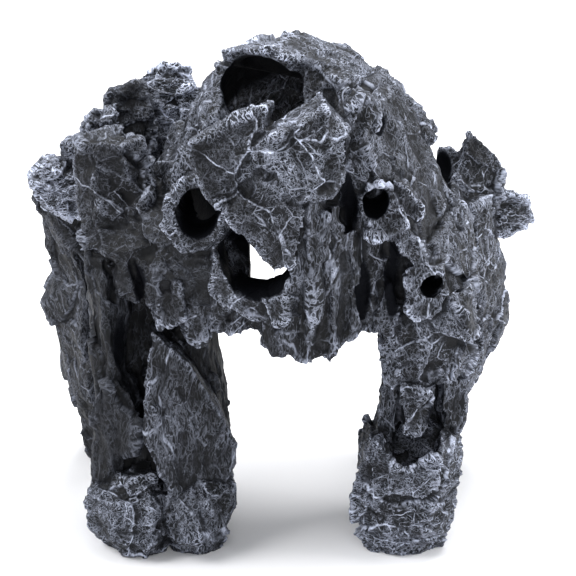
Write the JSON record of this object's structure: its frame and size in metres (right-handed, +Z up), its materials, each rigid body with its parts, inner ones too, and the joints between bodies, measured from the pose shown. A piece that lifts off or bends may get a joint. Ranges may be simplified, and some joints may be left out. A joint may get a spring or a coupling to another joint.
{
  "type": "resin cave ornament",
  "caption": "Free-standing black resin rock arch for aquariums: craggy legs under a hollow crown with a crater, round portholes and a window for fish to swim through.",
  "frame": {"origin": "centre of the footprint, on the ground the feet stand on", "axes": "+Z up, front (the side with the portholes and slabs) towards -Y, +X to the right as seen from the front"},
  "size_m": [0.152, 0.102, 0.151],
  "materials": {
    "resin_charcoal": "matte charcoal polyresin, rough rock texture, dry-brushed pale grey on the edges",
    "resin_foot": "matte charcoal polyresin with heavier pale grey dry-brushing on the feet"
  },
  "bodies": {
    "root": {"crown_shell": "resin_charcoal", "crown_spur": "resin_charcoal", "curtain": "resin_charcoal", "front_slab_left": "resin_charcoal", "front_slab_right": "resin_charcoal", "left_arm_teeth": "resin_charcoal", "left_back_ridge": "resin_charcoal", "left_crag": "resin_charcoal", "left_fin": "resin_charcoal", "left_foot_inner": "resin_foot", "left_foot_outer": "resin_foot", "left_front_leg": "resin_charcoal", "left_porthole_ring": "resin_charcoal", "left_rear_leg": "resin_charcoal", "left_shoulder": "resin_charcoal", "left_stump_outer": "resin_charcoal", "left_stump_rim": "resin_charcoal", "left_tower": "resin_charcoal", "middle_slab": "resin_charcoal", "porthole_spine": "resin_charcoal", "right_crag": "resin_charcoal", "right_foot": "resin_foot", "right_front_leg": "resin_charcoal", "right_knob": "resin_charcoal", "right_leg_column": "resin_charcoal", "right_leg_tooth": "resin_charcoal", "right_rear_leg": "resin_charcoal", "right_shoulder": "resin_charcoal", "right_stub": "resin_charcoal", "roof_slab": "resin_charcoal", "saddle_crag": "resin_charcoal", "window_sill": "resin_charcoal"}
  },
  "joints": []
}
